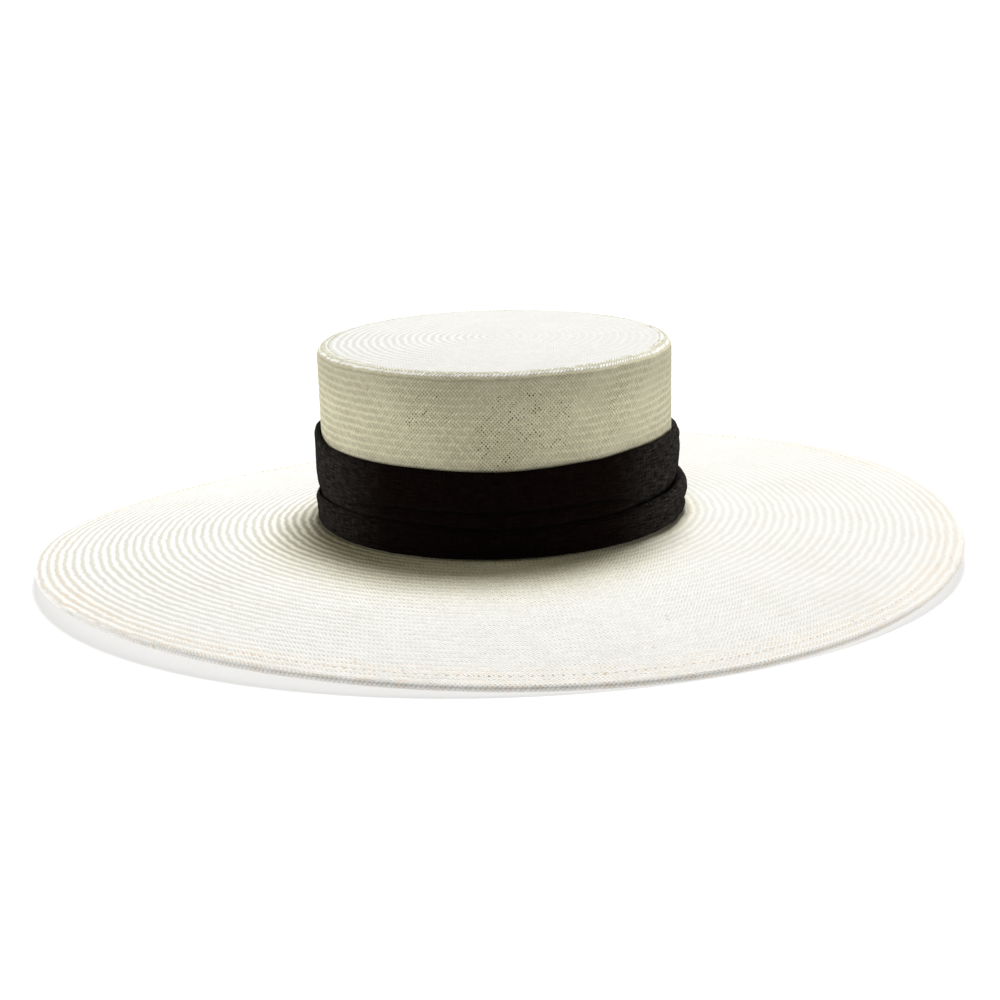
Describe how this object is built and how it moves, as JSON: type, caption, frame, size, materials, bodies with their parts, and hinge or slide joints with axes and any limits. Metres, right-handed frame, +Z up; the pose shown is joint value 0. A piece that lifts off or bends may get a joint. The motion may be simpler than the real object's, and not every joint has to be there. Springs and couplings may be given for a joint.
{
  "type": "wide-brimmed woven straw hat",
  "caption": "Wide-brimmed hat of woven straw with a flat-topped oval crown and a folded dark linen band, worn on the head for shade.",
  "frame": {"origin": "centre of the hat's footprint, at the height of the lowest places of the brim's edge, where the hat rests", "axes": "+Z up out of the crown's tip, the front of the hat towards -Y, the wearer's left at +X"},
  "size_m": [0.4446, 0.4748, 0.1054],
  "materials": {
    "straw_crown": "matt woven straw",
    "straw_brim": "matt woven straw",
    "linen": "matt black plain-weave linen"
  },
  "bodies": {
    "root": {"crown": "straw_crown", "brim": "straw_brim", "hatband": "linen"}
  },
  "joints": []
}
